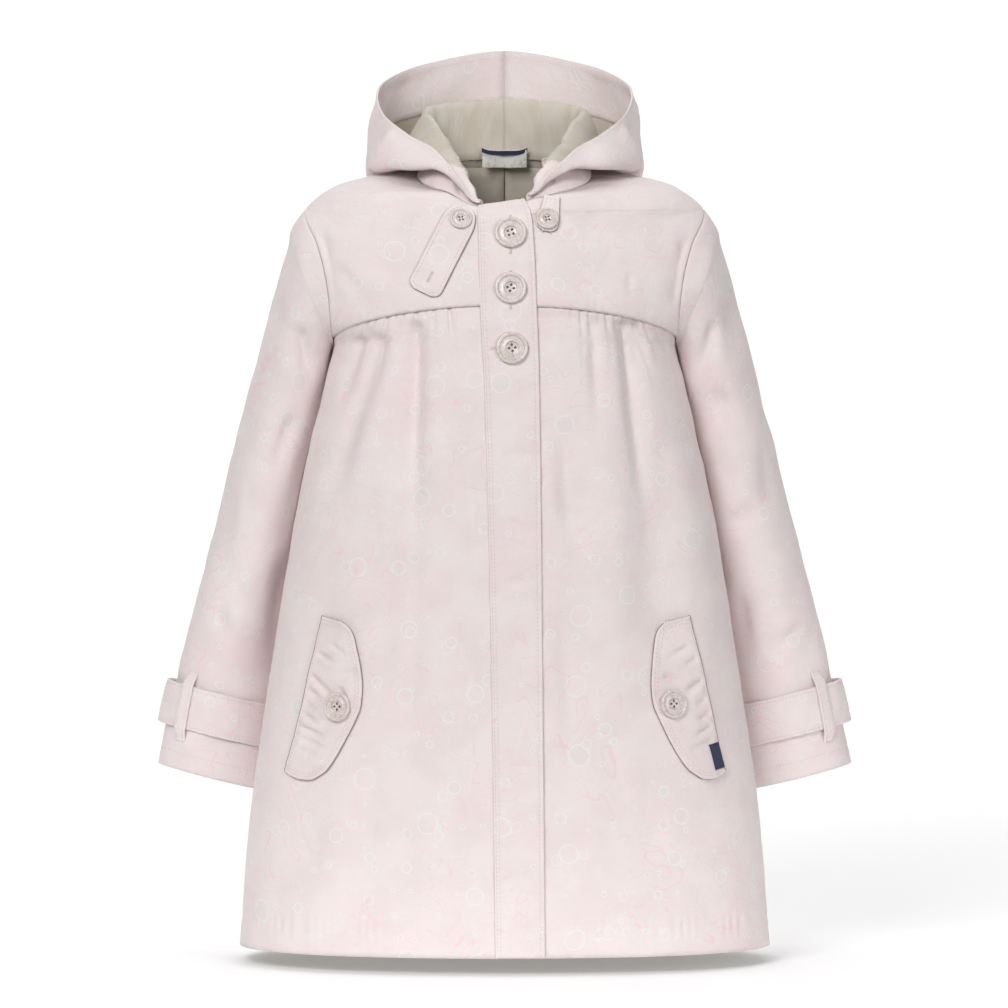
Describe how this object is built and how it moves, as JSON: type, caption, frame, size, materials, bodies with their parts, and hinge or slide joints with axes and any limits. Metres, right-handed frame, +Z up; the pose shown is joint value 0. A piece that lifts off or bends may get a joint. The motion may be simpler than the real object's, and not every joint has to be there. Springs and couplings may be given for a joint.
{
  "type": "long hooded raincoat",
  "caption": "Child's long hooded raincoat in pale pink coated cotton, button front with yokes and gathers, pocket flaps and cuff straps, hood folded back.",
  "frame": {"origin": "Between the shoulders, level with the sides of the neck, where the wearer holds the coat up.", "axes": "+Z up, +Y towards the wearer's back, +X towards the wearer's left."},
  "size_m": [0.5162, 0.2506, 0.6661],
  "materials": {
    "pale_pink_coated_cotton": "matte coated plain weave with a faint print of rings",
    "beige_lining_twill": "matte twill",
    "marbled_resin": "satin marbled pinkish cream",
    "navy_woven_tape": "matte woven"
  },
  "bodies": {
    "root": {"back": "pale_pink_coated_cotton", "back_yoke": "pale_pink_coated_cotton", "back_lining_left": "beige_lining_twill", "back_lining_right": "beige_lining_twill", "front_left": "pale_pink_coated_cotton", "front_right": "pale_pink_coated_cotton", "front_yoke_left": "pale_pink_coated_cotton", "front_yoke_right": "pale_pink_coated_cotton", "placket": "pale_pink_coated_cotton", "throat_tab": "pale_pink_coated_cotton", "button_tab": "pale_pink_coated_cotton", "pocket_flap_left": "pale_pink_coated_cotton", "pocket_flap_right": "pale_pink_coated_cotton", "flap_tag": "navy_woven_tape", "sleeve_left": "pale_pink_coated_cotton", "sleeve_right": "pale_pink_coated_cotton", "cuff_strap_left": "pale_pink_coated_cotton", "cuff_strap_right": "pale_pink_coated_cotton", "strap_keeper_front_left": "pale_pink_coated_cotton", "strap_keeper_front_right": "pale_pink_coated_cotton", "strap_keeper_rear_left": "pale_pink_coated_cotton", "strap_keeper_rear_right": "pale_pink_coated_cotton", "hood_left": "pale_pink_coated_cotton", "hood_right": "pale_pink_coated_cotton", "hood_facing_left": "pale_pink_coated_cotton", "hood_facing_right": "pale_pink_coated_cotton", "hood_lining_left": "beige_lining_twill", "hood_lining_right": "beige_lining_twill", "neck_label": "beige_lining_twill", "hanging_loop": "navy_woven_tape", "placket_button_1": "marbled_resin", "placket_button_2": "marbled_resin", "placket_button_3": "marbled_resin", "pocket_button_left": "marbled_resin", "pocket_button_right": "marbled_resin", "throat_button_left": "marbled_resin", "throat_button_right": "marbled_resin"}
  },
  "joints": []
}
